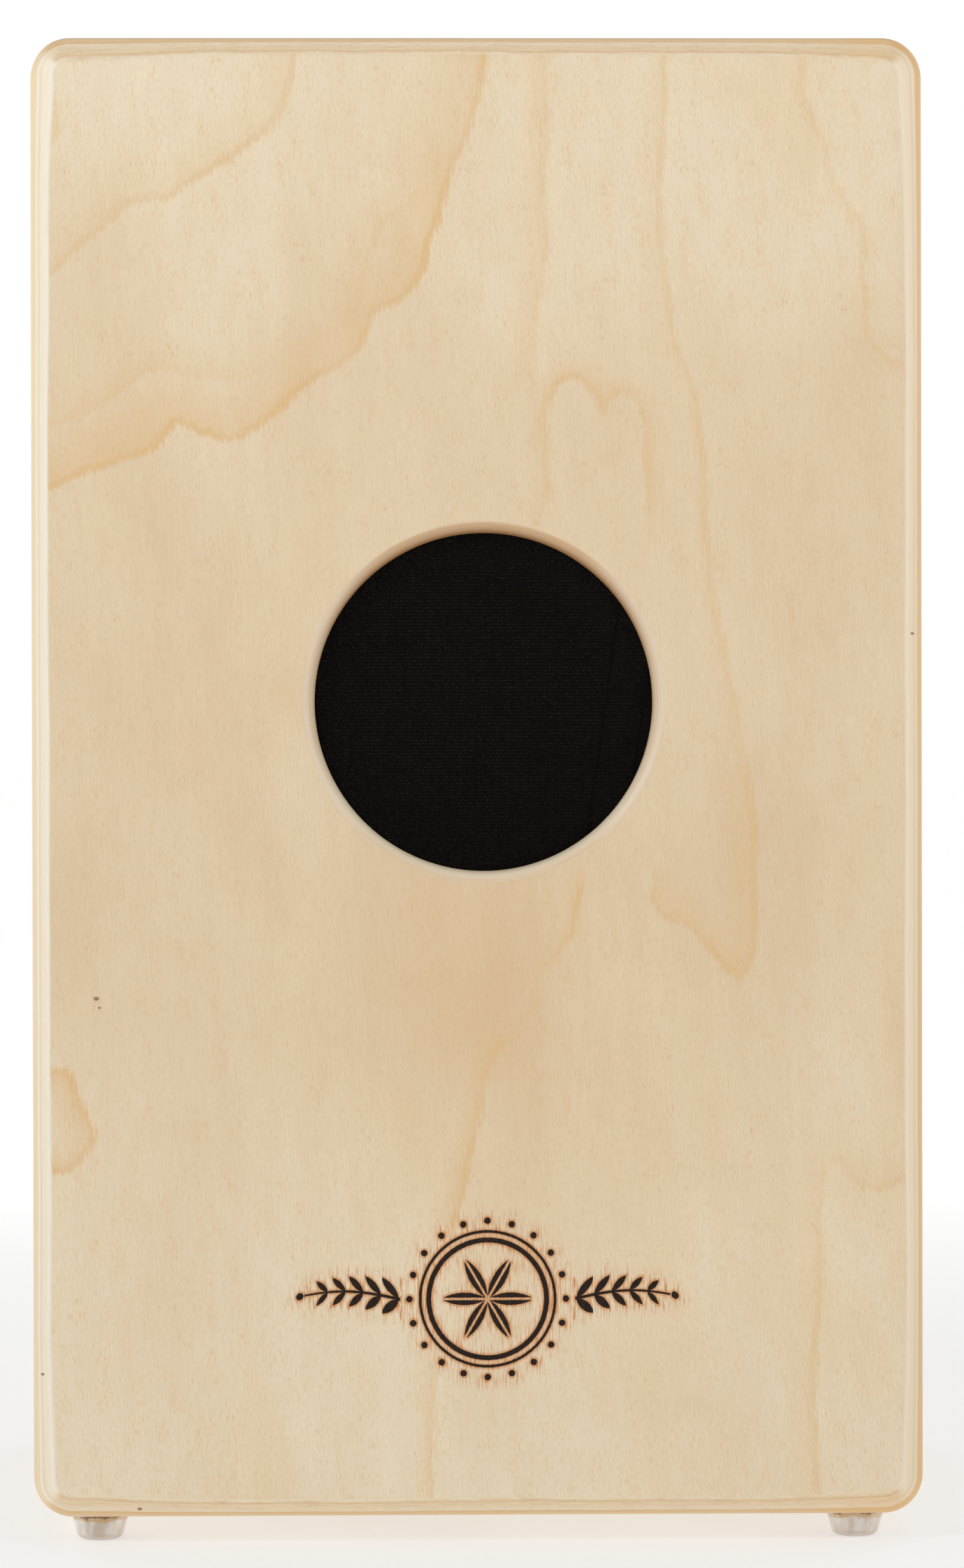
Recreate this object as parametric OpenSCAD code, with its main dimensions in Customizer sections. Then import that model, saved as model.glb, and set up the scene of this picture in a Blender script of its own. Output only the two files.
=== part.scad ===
// Flamenco cajon: a plywood box drum that the player sits on and strikes on its thin front plate.
// Two pairs of guitar strings lie close behind the plate, and two hex screws in the base tension them.
// Millimetres. The origin is on the floor under the middle of the box, +Z is up,
// the sound hole faces -Y and the front plate faces +Y.

/* [Body] */
// Width of the body from side to side
body_w = 290; // [270:5:310]
// Depth of the body from the sound hole face to the playing face
body_d = 300; // [280:5:320]
// Height of the body without its feet
body_h = 481; // [450:1:500]
// Thickness of the top, bottom and side panels, and radius of the body's four long corners
panel_t = 13; // [12:1:15]
// Length of the tongues that join the side panels to the top and the bottom
tongue_l = 5; // [4:1:6]
// Side of the three-cornered glue blocks inside the long corners
corner_block_w = 16; // [12:1:20]

/* [Back panel] */
// Thickness of the back panel, and radius of its rounded outer edge
back_t = 6; // [5:0.5:7]
// Diameter of the sound hole
hole_d = 110; // [90:2:114]
// Radius of the sound hole's rounded rim
hole_rim_r = 4.5; // [3:0.5:4.5]
// Height of the sound hole's centre above the middle of the body
hole_rise = 24.5; // [0:0.5:60]
// Offset of the sound hole's centre to the right
hole_shift = 2; // [-5:0.5:5]
// Side of the square of black net behind the sound hole
net_w = 128; // [128:2:160]

/* [Front plate] */
// Thickness of the front plate
plate_t = 3.2; // [3:0.1:4]
// Radius of the front plate's rounded outer edge
plate_edge_r = 1.6; // [1:0.1:2]
// Number of screws down each side of the front plate
side_screws = 7; // [5:1:9]
// Number of screws along the top and along the bottom of the front plate
end_screws = 5; // [3:2:5]

/* [Feet] */
// Height of the feet
foot_h = 9; // [9:0.5:14]
// Diameter of a foot where it meets the body
foot_top_d = 19.5; // [18:0.5:24]
// Diameter of a foot on the floor
foot_bottom_d = 16; // [15.5:0.5:17]
// Distance of each foot's centre from the two nearest faces of the body
foot_inset = 21; // [18:0.5:30]

/* [Strings] */
// Diameter of a string
string_d = 0.9; // [0.6:0.1:1.1]
// Distance of each tension screw from the middle
tuner_x = 26; // [22:1:30]
// Distance of each pair of strings from the middle at the top
anchor_x = 90; // [70:5:100]
// Gap between the strings and the front plate
string_gap = 0.5; // [0.4:0.1:0.8]

/* [Hidden] */
$fn = 96;

birch = [0.90, 0.82, 0.68];
beech = [0.80, 0.64, 0.47];
black = [0.03, 0.03, 0.03];
clear = [0.88, 0.86, 0.83, 0.6];
steel = [0.72, 0.72, 0.70];
brass = [0.80, 0.66, 0.33];

cut = 1;      // how far a cutting tool reaches past a face
slack = 0.05; // gap of a screw in its hole, which stands in for the thread
glue = 0.1;   // gap of a glued tongue in its groove

base_z = foot_h;
top_z = foot_h + body_h;
mid_z = (base_z + top_z) / 2;
floor_z = base_z + panel_t;
roof_z = top_z - panel_t;
inner_w = body_w - 2 * panel_t;
shell_back = -body_d / 2 + back_t;
shell_front = body_d / 2 - plate_t;
shell_l = shell_front - shell_back;

// Countersunk wood screws of 3 mm, with a cross recess
screw_r = 1.5;
screw_tip = 3;
screw_head_r = 3;
recess_w = 0.7;
recess_l = 3.4;
recess_depth = 1.4;
plate_screw_l = 16;
block_screw_l = 30;
screw_inset = panel_t / 2;
screw_end_gap = 20;

// Feet: screw, washer, the pocket that they sit in, and the radius of the foot's lower edge
foot_screw_r = 2;
foot_screw_bite = 10;
foot_screw_point = 2;
foot_head_r = 3.9;
foot_head_h = 1.6;
foot_recess_w = 1;
foot_recess_l = 4.4;
foot_recess_depth = 1;
foot_washer_r = 4.2;
foot_washer_h = 0.5;
foot_seat_z = 6;
foot_pocket_r = 4.5;
foot_round_r = 3;
foot_screw_tip_r = 0.4;

// Staples that hold the net
staple_w = 10;
staple_wire = 0.8;
staple_leg = 4;
staple_inset = 4;
staple_pitch = net_w / 3.2;
net_t = 0.4;

// String hardware
string_r = string_d / 2;
string_y = shell_front - string_gap - string_r;
bore_gap = 0.35;   // gap round a string in the hole that it runs through
bore_r = string_r + bore_gap;
elbow_r = 1.04;    // radius of a string's bends, as a share of its own radius
ball_r = 1.9;
ball_gap = 0.2;    // gap round a ball in a brass nut
ball_hole_gap = 0.3; // gap round a ball in the rail
ball_setback = 3.6;
ball_step = 1;     // how much further back the upper balls sit
rail_t = 12;
rail_h = 18;
rail_gap = 0.3;
rail_front = shell_front - rail_gap;
block_margin = 23; // from a tension screw to the nearer end of the block
block_w = 2 * (tuner_x + block_margin);
block_d = 22;
block_h = 32;
block_roof = 6;
block_screw_out = 17;  // from a tension screw to the block's screw beside it
block_screw_in = 4.5;  // from the block's rear face to its screws
block_screw_x = [0, -tuner_x - block_screw_out, tuner_x + block_screw_out];
block_screw_y = rail_front - block_d + block_screw_in;
nut_w = 16;
nut_d = 12;
nut_h = 12;
nut_z = floor_z + 10;
nut_gap = 0.1;
nut_wall = 0.5;        // wood left between a nut and the front of the block
nut_front = rail_front - nut_wall;
tuner_in = 7.5;        // from a nut's front face to its tension screw
tuner_y = nut_front - tuner_in;
pair_low = 5;  // half the spacing of a pair at the nut
pair_high = 9; // half the spacing of a pair at the rail
bolt_r = 2.5;
bolt_l = 30;
bolt_head_r = 4.25;
bolt_head_h = 5;
bolt_key_af = 4;
bolt_key_depth = 3;
bolt_gap = 0.1;
bolt_sink_r = 5.2;
bolt_sink_h = 6;
bolt_washer_r = 5;
bolt_washer_h = 0.8;

// ---- shared shapes -------------------------------------------------------------------------

module both_sides() {
    children();
    mirror([1, 0, 0]) children();
}

module quarter_disc(r) {
    intersection() {
        circle(r);
        square(r + cut);
    }
}

// A cross-section in X and Z, drawn out along +Y from y to y + l
module along_y(y, l) {
    translate([0, y + l, 0]) rotate([90, 0, 0]) linear_extrude(l) children();
}

// A cylinder of radius r from point p to point q
module rod(p, q, r) {
    d = q - p;
    translate(p) rotate([0, acos(d.z / norm(d)), atan2(d.y, d.x)]) cylinder(h = norm(d), r = r);
}

// The outer band of a plate, seen in section: out to R, t high, its top outer edge rounded by r
module edge_section(R, t, r) {
    square([R - r, t]);
    if (t > r) translate([R - r, 0]) square([r, t - r]);
    translate([R - r, t - r]) quarter_disc(r);
}

// One straight stretch of that band, l long, on the +X side
module edge_bar(x, l, R, t, r) {
    translate([x - R, l / 2, 0]) rotate([90, 0, 0]) linear_extrude(l) edge_section(R, t, r);
}

// A plate w by h by t with corners of radius R, and with its top outer edge rounded by r
module rounded_plate(w, h, t, R, r) {
    translate([-w / 2 + R, -h / 2 + R, 0]) cube([w - 2 * R, h - 2 * R, t]);
    for (a = [0, 180]) rotate(a) {
        edge_bar(w / 2, h - 2 * R, R, t, r);
        rotate(90) edge_bar(h / 2, w - 2 * R, R, t, r);
        translate([w / 2 - R, h / 2 - R, 0]) rotate_extrude(angle = 90) edge_section(R, t, r);
        translate([R - w / 2, h / 2 - R, 0]) rotate(90) rotate_extrude(angle = 90) edge_section(R, t, r);
    }
}

// ---- shell ---------------------------------------------------------------------------------

// A panel across the full width whose two ends are rounded over towards +Z
module end_panel() {
    difference() {
        along_y(shell_back, shell_l) both_sides() {
            square([inner_w / 2, panel_t]);
            translate([inner_w / 2, 0]) quarter_disc(panel_t);
        }
        both_sides() translate([inner_w / 2, shell_back - cut, -cut])
            cube([panel_t / 2, shell_l + 2 * cut, tongue_l + cut]);
        end_screw_holes();
    }
}

module end_screw_holes() {
    for (i = [0 : end_screws - 1])
        translate([end_screw_x(i), shell_front, screw_inset]) pilot_hole();
}

module top_panel() {
    color(birch) translate([0, 0, roof_z]) end_panel();
}

module bottom_panel() {
    color(birch) difference() {
        translate([0, 0, floor_z]) mirror([0, 0, 1]) end_panel();
        for (p = foot_places)
            translate([p.x, p.y, base_z - cut])
                cylinder(h = foot_screw_bite + cut, r = foot_screw_r + slack);
        for (s = [-1, 1]) translate([s * tuner_x, tuner_y, 0]) {
            translate([0, 0, base_z - cut]) cylinder(h = bolt_sink_h + cut, r = bolt_sink_r);
            translate([0, 0, base_z]) cylinder(h = panel_t + cut, r = bolt_r + bolt_gap);
        }
        at_block_screws() screw_hole(block_screw_l);
    }
}

module side_panel() {
    difference() {
        union() {
            translate([inner_w / 2, shell_back, floor_z]) cube([panel_t, shell_l, roof_z - floor_z]);
            translate([inner_w / 2, shell_back, floor_z - tongue_l + glue])
                cube([panel_t / 2 - glue, shell_l, roof_z - floor_z + 2 * (tongue_l - glue)]);
        }
        for (i = [0 : side_screws - 1])
            translate([body_w / 2 - screw_inset, shell_front, side_screw_z(i)]) pilot_hole();
    }
}

module left_side_panel() {
    color(birch) mirror([1, 0, 0]) side_panel();
}

module right_side_panel() {
    color(birch) side_panel();
}

module back_panel() {
    color(birch) translate([0, shell_back, mid_z]) rotate([90, 0, 0]) {
        difference() {
            rounded_plate(body_w, body_h, back_t, panel_t, back_t);
            translate([hole_shift, hole_rise, -cut])
                cylinder(h = back_t + 2 * cut, r = hole_d / 2 + hole_rim_r);
        }
        translate([hole_shift, hole_rise, 0]) rotate_extrude() translate([hole_d / 2, 0]) {
            square([hole_rim_r, back_t - hole_rim_r]);
            translate([hole_rim_r, back_t - hole_rim_r]) mirror([1, 0]) quarter_disc(hole_rim_r);
        }
    }
}

module corner_block() {
    color(beech) along_y(shell_back + cut, shell_l - block_d - 2 * cut)
        translate([inner_w / 2, 0]) polygon([[0, 0], [-corner_block_w, 0], [0, -corner_block_w]]);
}

module corner_block_top_right() {
    translate([0, 0, roof_z]) corner_block();
}

module corner_block_top_left() {
    mirror([1, 0, 0]) corner_block_top_right();
}

module corner_block_bottom_right() {
    translate([0, 0, floor_z]) mirror([0, 0, 1]) corner_block();
}

module corner_block_bottom_left() {
    mirror([1, 0, 0]) corner_block_bottom_right();
}

// ---- front plate and screws ----------------------------------------------------------------

function side_screw_z(i) =
    base_z + screw_end_gap + i * (body_h - 2 * screw_end_gap) / (side_screws - 1);
function end_screw_x(i) =
    (i + 1) * (body_w - 2 * screw_inset) / (end_screws + 1) - body_w / 2 + screw_inset;

plate_screw_places = concat(
    [for (i = [0 : side_screws - 1], s = [-1, 1]) [s * (body_w / 2 - screw_inset), side_screw_z(i)]],
    [for (i = [0 : end_screws - 1], z = [base_z + screw_inset, top_z - screw_inset]) [end_screw_x(i), z]]
);

// Half-section of a countersunk screw of length l, its head flush at height 0 and its point down
module screw_section(l, gap) {
    polygon([
        [0, 0], [screw_head_r + gap, 0], [screw_r + gap, screw_r - screw_head_r],
        [screw_r + gap, screw_tip - l - gap], [0, -l - gap]
    ]);
}

// A cross recess, l by l and w wide, cut down from height 0
module cross_recess(l, w, depth) {
    for (a = [0, 90]) rotate(a) translate([-l / 2, -w / 2, -depth]) cube([l, w, depth + cut]);
}

module countersunk_screw(l) {
    difference() {
        rotate_extrude() screw_section(l, 0);
        cross_recess(recess_l, recess_w, recess_depth);
    }
}

module screw_hole(l) {
    rotate_extrude() screw_section(l, slack);
    cylinder(h = cut, r = screw_head_r + slack);
}

// The hole for a plate screw in the front edge of a panel
module pilot_hole() {
    translate([0, plate_t, 0]) rotate([-90, 0, 0]) rotate_extrude() screw_section(plate_screw_l, slack);
}

// The children at each of the block's three screws, pointing up from the underside of the body
module at_block_screws() {
    for (x = block_screw_x) translate([x, block_screw_y, base_z]) mirror([0, 0, 1]) children();
}

module front_plate() {
    color(birch) difference() {
        translate([0, shell_front, mid_z]) rotate([-90, 0, 0])
            rounded_plate(body_w, body_h, plate_t, panel_t, plate_edge_r);
        for (p = plate_screw_places)
            translate([p[0], body_d / 2, p[1]]) rotate([-90, 0, 0]) screw_hole(plate_screw_l);
    }
}

module front_plate_screws() {
    color(steel) for (p = plate_screw_places)
        translate([p[0], body_d / 2, p[1]]) rotate([-90, 0, 0]) countersunk_screw(plate_screw_l);
}

// ---- net behind the sound hole ---------------------------------------------------------------

module hole_net() {
    color(black) translate([hole_shift - net_w / 2, shell_back, mid_z + hole_rise - net_w / 2])
        cube([net_w, net_t, net_w]);
}

module staple() {
    translate([-staple_w / 2, 0, 0]) cube([staple_w, staple_wire, staple_wire]);
    for (x = [-staple_w / 2, staple_w / 2 - staple_wire])
        translate([x, -staple_leg, 0]) cube([staple_wire, staple_leg + staple_wire, staple_wire]);
}

module net_staples() {
    reach = net_w / 2 - staple_inset;
    color(steel) translate([hole_shift, shell_back + net_t, mid_z + hole_rise])
        for (a = [0 : 90 : 270], x = [-1, 0, 1])
            rotate([0, a, 0]) translate([x * staple_pitch, 0, reach]) staple();
}

// ---- feet ------------------------------------------------------------------------------------

foot_x = body_w / 2 - foot_inset;
foot_y = body_d / 2 - foot_inset;
foot_places = [[-foot_x, -foot_y], [foot_x, -foot_y], [-foot_x, foot_y], [foot_x, foot_y]];

// Half-section: a tapered bumper with a round lower edge, a screw hole and a pocket for the head
module foot_section() {
    r = foot_round_r;
    low = foot_bottom_d / 2;
    difference() {
        polygon(concat(
            [[0, 0]],
            [for (a = [-90 : 15 : -10]) [low - r + r * cos(a), r + r * sin(a)]],
            [[foot_top_d / 2, foot_h], [0, foot_h]]
        ));
        translate([-cut, -cut]) square([foot_screw_r + slack + cut, foot_h + 2 * cut]);
        translate([-cut, -cut]) square([foot_pocket_r + cut, foot_seat_z + cut]);
    }
}

module foot(i) {
    color(clear) translate([foot_places[i].x, foot_places[i].y, 0]) rotate_extrude() foot_section();
}

module foot_screws() {
    head_z = foot_seat_z - foot_washer_h;
    point_z = base_z + foot_screw_bite - foot_screw_point;
    color(brass) for (p = foot_places) translate([p.x, p.y, 0]) {
        difference() {
            translate([0, 0, head_z - foot_head_h]) cylinder(h = foot_head_h, r = foot_head_r);
            translate([0, 0, head_z - foot_head_h]) mirror([0, 0, 1])
                cross_recess(foot_recess_l, foot_recess_w, foot_recess_depth);
        }
        translate([0, 0, head_z]) cylinder(h = point_z - head_z, r = foot_screw_r);
        translate([0, 0, point_z]) cylinder(h = foot_screw_point, r1 = foot_screw_r, r2 = foot_screw_tip_r);
    }
}

module foot_washers() {
    color(steel) for (p = foot_places)
        translate([p.x, p.y, foot_seat_z - foot_washer_h]) difference() {
            cylinder(h = foot_washer_h, r = foot_washer_r);
            translate([0, 0, -cut]) cylinder(h = foot_washer_h + 2 * cut, r = foot_screw_r + slack);
        }
}

// ---- strings and their tensioners --------------------------------------------------------------

// A string's four points: ball in the nut, edge of the block, edge of the rail, ball in the rail.
// k is -1 or 1 for the outer or inner string of the right-hand pair.
low_z = nut_z + nut_h / 2;
high_z = roof_z - rail_h / 2;
block_top = floor_z + block_h;
rail_low = roof_z - rail_h;
function string_x(k, z) =
    tuner_x - k * pair_low
    + (anchor_x - tuner_x - k * (pair_high - pair_low)) * (z - low_z) / (high_z - low_z);
function string_points(k) = [
    [string_x(k, low_z), shell_front - ball_setback, low_z],
    [string_x(k, block_top), string_y, block_top],
    [string_x(k, rail_low), string_y, rail_low],
    [string_x(k, high_z), shell_front - ball_setback - ball_step, high_z]
];

module string_path(k, r) {
    p = string_points(k);
    for (i = [0 : 2]) rod(p[i], p[i + 1], r);
    for (i = [1, 2]) translate(p[i]) sphere(r * elbow_r);
}

module string_pair() {
    color(brass) for (k = [-1, 1]) {
        p = string_points(k);
        string_path(k, string_r);
        translate(p[0]) sphere(ball_r);
        translate(p[3]) sphere(ball_r);
    }
}

module strings_right() {
    string_pair();
}

module strings_left() {
    mirror([1, 0, 0]) string_pair();
}

// A hardwood rail under the top panel. Each ball sits in a hole drilled from behind.
module string_rail() {
    color(beech) difference() {
        translate([-inner_w / 2 + glue, rail_front - rail_t, rail_low])
            cube([inner_w - 2 * glue, rail_t, rail_h]);
        both_sides() for (k = [-1, 1]) {
            p = string_points(k);
            string_path(k, bore_r);
            translate([p[3].x, rail_front - rail_t - cut, p[3].z]) rotate([-90, 0, 0])
                cylinder(h = p[3].y + ball_r - rail_front + rail_t + cut, r = ball_r + ball_hole_gap);
        }
    }
}

// A hardwood block on the bottom panel. Two brass nuts slide up and down in its front slots.
module tuner_block() {
    color(beech) difference() {
        translate([-block_w / 2, rail_front - block_d, floor_z]) cube([block_w, block_d, block_h]);
        both_sides() {
            translate([tuner_x - nut_w / 2 - nut_gap, nut_front - nut_d - nut_gap, floor_z - cut])
                cube([nut_w + 2 * nut_gap, nut_d + nut_gap + cut, block_h - block_roof + cut]);
            for (k = [-1, 1]) string_path(k, bore_r);
        }
        at_block_screws() screw_hole(block_screw_l);
    }
}

module tuner_block_screws() {
    color(steel) at_block_screws() countersunk_screw(block_screw_l);
}

module tension_nut() {
    color(brass) difference() {
        translate([tuner_x - nut_w / 2, nut_front - nut_d, nut_z]) cube([nut_w, nut_d, nut_h]);
        translate([tuner_x, tuner_y, nut_z - cut]) cylinder(h = nut_h + 2 * cut, r = bolt_r + slack);
        for (k = [-1, 1]) {
            p = string_points(k);
            rod(p[0], p[1], bore_r);
            translate([p[0].x, p[0].y, nut_z - cut])
                cylinder(h = p[0].z - nut_z + cut, r = ball_r + ball_gap);
            translate(p[0]) sphere(ball_r + ball_gap);
        }
    }
}

module tension_nut_right() {
    tension_nut();
}

module tension_nut_left() {
    mirror([1, 0, 0]) tension_nut();
}

module tension_screw() {
    head_top = base_z + bolt_sink_h - bolt_washer_h;
    color(steel) translate([tuner_x, tuner_y, 0]) difference() {
        union() {
            translate([0, 0, head_top - bolt_head_h]) cylinder(h = bolt_head_h, r = bolt_head_r);
            translate([0, 0, head_top]) cylinder(h = bolt_l, r = bolt_r);
        }
        translate([0, 0, head_top - bolt_head_h - cut])
            cylinder(h = bolt_key_depth + cut, r = bolt_key_af / sqrt(3), $fn = 6);
    }
}

module tension_screw_right() {
    tension_screw();
}

module tension_screw_left() {
    mirror([1, 0, 0]) tension_screw();
}

module tension_washers() {
    color(steel) for (s = [-1, 1])
        translate([s * tuner_x, tuner_y, base_z + bolt_sink_h - bolt_washer_h]) difference() {
            cylinder(h = bolt_washer_h, r = bolt_washer_r);
            translate([0, 0, -cut]) cylinder(h = bolt_washer_h + 2 * cut, r = bolt_r + bolt_gap);
        }
}

// ---- nodes -------------------------------------------------------------------------------------

top_panel();
bottom_panel();
left_side_panel();
right_side_panel();
back_panel();
front_plate();
front_plate_screws();
corner_block_top_left();
corner_block_top_right();
corner_block_bottom_left();
corner_block_bottom_right();
hole_net();
net_staples();
foot(0);  // foot_back_left
foot(1);  // foot_back_right
foot(2);  // foot_front_left
foot(3);  // foot_front_right
foot_screws();
foot_washers();
string_rail();
tuner_block();
tuner_block_screws();
tension_screw_left();
tension_screw_right();
tension_washers();
tension_nut_left();
tension_nut_right();
strings_left();
strings_right();
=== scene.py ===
"""The cajon's looks: plywood, net, clear feet, strings and the studio round it."""
import math

import bpy
import numpy as np
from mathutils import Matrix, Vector


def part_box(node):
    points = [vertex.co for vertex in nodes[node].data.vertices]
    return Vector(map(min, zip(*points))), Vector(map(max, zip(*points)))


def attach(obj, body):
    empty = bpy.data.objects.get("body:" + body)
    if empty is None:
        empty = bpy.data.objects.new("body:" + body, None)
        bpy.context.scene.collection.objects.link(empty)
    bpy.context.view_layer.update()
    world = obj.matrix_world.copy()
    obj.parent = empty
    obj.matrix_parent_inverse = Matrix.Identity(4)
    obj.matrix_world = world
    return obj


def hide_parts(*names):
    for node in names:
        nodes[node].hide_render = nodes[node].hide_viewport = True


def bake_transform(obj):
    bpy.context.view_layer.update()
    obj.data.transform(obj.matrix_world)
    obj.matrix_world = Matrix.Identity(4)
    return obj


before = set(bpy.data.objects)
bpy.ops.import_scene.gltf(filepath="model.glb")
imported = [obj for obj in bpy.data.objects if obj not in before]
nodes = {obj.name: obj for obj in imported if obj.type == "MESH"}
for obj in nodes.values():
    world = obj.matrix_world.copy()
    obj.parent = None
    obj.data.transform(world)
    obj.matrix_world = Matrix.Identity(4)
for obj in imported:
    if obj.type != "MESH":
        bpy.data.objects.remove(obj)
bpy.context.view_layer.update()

MM = 0.001
BODY = "shell"


# ---- places taken from the frame, in millimetres ---------------------------------------------

def box_mm(node):
    low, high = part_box(node)
    return np.array(low) / MM, np.array(high) / MM


back_low, back_high = box_mm("back_panel")
face_y, shell_back = back_low[1], back_high[1]
half_w = (back_high[0] - back_low[0]) / 2
body_z = (back_low[2] + back_high[2]) / 2
half_h = (back_high[2] - back_low[2]) / 2
base_z = back_low[2]
net_low, net_high = box_mm("hole_net")
hole_x = (net_low[0] + net_high[0]) / 2
hole_z = (net_low[2] + net_high[2]) / 2
panel_t = back_high[2] - box_mm("top_panel")[0][2]
plate_low, plate_high = box_mm("front_plate")
shell_front = plate_low[1]

HOLE_R = 55.0          # radius of the sound hole
RIM_R = 4.5            # radius of its rounded rim
back_t = shell_back - face_y


# ---- colours ---------------------------------------------------------------------------------

def rgb(red, green, blue):
    """A linear colour from display values of 0 to 255."""
    values = (channel / 255 for channel in (red, green, blue))
    return (*(v / 12.92 if v <= 0.04045 else ((v + 0.055) / 1.055) ** 2.4 for v in values), 1.0)


# ---- node trees as arithmetic ------------------------------------------------------------------

class Term:
    """A number in a material's node tree, which ordinary arithmetic works on."""

    def __init__(self, tree, socket):
        self.tree, self.socket = tree, socket

    def op(self, operation, *others):
        node = self.tree.nodes.new("ShaderNodeMath")
        node.operation = operation
        for socket, value in zip(node.inputs, (self, *others)):
            plug(self.tree, socket, value)
        return Term(self.tree, node.outputs[0])

    def __add__(self, other):
        return self.op("ADD", other)

    def __sub__(self, other):
        return self.op("SUBTRACT", other)

    def __rsub__(self, other):
        return (self * -1) + other

    def __mul__(self, other):
        return self.op("MULTIPLY", other)

    def __truediv__(self, other):
        return self.op("DIVIDE", other)

    def __abs__(self):
        return self.op("ABSOLUTE")

    def step(self, low, high, result_low=0.0, result_high=1.0):
        """Goes smoothly from one result to the other as the number goes from low to high."""
        node = self.tree.nodes.new("ShaderNodeMapRange")
        node.interpolation_type = "SMOOTHSTEP"
        for socket, value in zip(node.inputs, (self, low, high, result_low, result_high)):
            plug(self.tree, socket, value)
        return Term(self.tree, node.outputs[0])

    def low(self, other):
        return self.op("MINIMUM", other)

    def high(self, other):
        return self.op("MAXIMUM", other)


def plug(tree, socket, value):
    if isinstance(value, Term):
        value = value.socket
    if isinstance(value, bpy.types.NodeSocket):
        tree.links.new(value, socket)
    else:
        socket.default_value = value


def hypot(a, b):
    return (a * a + b * b).op("SQRT")


class Finish:
    """A material with its object-space place in millimetres as x, y and z."""

    def __init__(self, name, **sockets):
        self.material = bpy.data.materials.new(name)
        self.material.use_nodes = True
        self.tree = self.material.node_tree
        self.shader = self.tree.nodes["Principled BSDF"]
        coordinates = self.tree.nodes.new("ShaderNodeTexCoord")
        self.x, self.y, self.z = (t / MM for t in self.split(coordinates.outputs["Object"]))
        self.nx, self.ny, self.nz = self.split(coordinates.outputs["Normal"])
        for name, value in sockets.items():
            self.shader.inputs[name.replace("_", " ")].default_value = value

    def split(self, vector):
        node = self.tree.nodes.new("ShaderNodeSeparateXYZ")
        self.tree.links.new(vector, node.inputs[0])
        return [Term(self.tree, socket) for socket in node.outputs]

    def attribute(self, name):
        node = self.tree.nodes.new("ShaderNodeAttribute")
        node.attribute_name = name
        return self.split(node.outputs["Vector"])

    def noise(self, x, y, z, detail=2.0, roughness=0.5, distortion=0.0):
        """Smooth noise of 0 to 1, about one wave per unit of the place given."""
        place = self.tree.nodes.new("ShaderNodeCombineXYZ")
        for socket, value in zip(place.inputs, (x, y, z)):
            plug(self.tree, socket, value)
        node = self.tree.nodes.new("ShaderNodeTexNoise")
        for name, value in (("Vector", place.outputs[0]), ("Scale", 1.0), ("Detail", detail),
                            ("Roughness", roughness), ("Distortion", distortion)):
            plug(self.tree, node.inputs[name], value)
        return Term(self.tree, node.outputs[0])

    def mix(self, factor, first, second):
        node = self.tree.nodes.new("ShaderNodeMix")
        node.data_type, node.clamp_factor = "RGBA", True
        for index, value in ((0, factor), (6, first), (7, second)):
            plug(self.tree, node.inputs[index], value)
        return node.outputs[2]

    def ramp(self, factor, stops):
        """Colours by position, each stop a (position, colour)."""
        node = self.tree.nodes.new("ShaderNodeValToRGB")
        elements = node.color_ramp.elements
        elements[0].position, elements[0].color = stops[0]
        elements[1].position, elements[1].color = stops[-1]
        for position, colour in stops[1:-1]:
            elements.new(position).color = colour
        plug(self.tree, node.inputs[0], factor)
        return node.outputs[0]

    def finish(self, colour, roughness, height, depth):
        """Plugs in the colour, the roughness, and a bump whose height of 1 stands depth mm tall."""
        plug(self.tree, self.shader.inputs["Base Color"], colour)
        plug(self.tree, self.shader.inputs["Roughness"], roughness)
        bump = self.tree.nodes.new("ShaderNodeBump")
        bump.inputs["Distance"].default_value = depth * MM
        plug(self.tree, bump.inputs["Height"], height)
        self.tree.links.new(bump.outputs["Normal"], self.shader.inputs["Normal"])
        return self.material


# ---- birch plywood -----------------------------------------------------------------------------

VENEER_LIGHT = rgb(241, 227, 198)
VENEER_DARK = rgb(211, 178, 137)
FIGURE_TINT = rgb(224, 184, 126)
PORE = rgb(214, 176, 126)
LACQUER = {"Specular_IOR_Level": 0.4, "Coat_Weight": 0.3, "Coat_Roughness": 0.32}


def veneer(f, across, depth, along, warm=0.0, figure=None):
    """The colour, roughness and height of rotary-cut birch.

    warm darkens the ground and figure draws the growth lines, both from 0 to 1.
    """
    lean = across + along * 0.07
    cloud = f.noise(lean * 0.016, depth * 0.01, along * 0.009, 3.0, 0.55, 0.4)
    blush = f.noise(lean * 0.022, depth * 0.01 + 5, along * 0.008, 4.0, 0.6, 0.5).step(0.50, 0.78)
    streak = f.noise(lean * 0.12, depth * 0.1, along * 0.009, 3.0, 0.6)
    mottle = f.noise(lean * 0.20, depth * 0.1, along * 0.07, 3.0, 0.65).step(0.45, 0.75)
    fibre = f.noise(lean * 1.5, depth, along * 0.10, 4.0, 0.7)
    fleck = f.noise(lean * 2.4, depth * 2, along * 0.42, 3.0, 0.65).step(0.46, 0.72)
    tone = (cloud - 0.5) * 0.7 + (streak - 0.5) * 0.22 + (fibre - 0.5) * 0.50 + 0.24 + warm
    colour = f.mix(tone, VENEER_LIGHT, VENEER_DARK)
    colour = f.mix((blush * 0.28).high(mottle * 0.12), colour, FIGURE_TINT)
    if figure is not None:
        colour = f.mix(figure * (fibre * 0.5 + 0.75), colour, FIGURE_TINT)
    colour = f.mix(fleck * (mottle * 0.5 + 0.35), colour, PORE)
    return colour, (fibre * 0.14) + 0.42, fibre * 0.6 + fleck * -0.45


PLY_REACH = 6.5  # depth in mm that the table of plies covers

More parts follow.
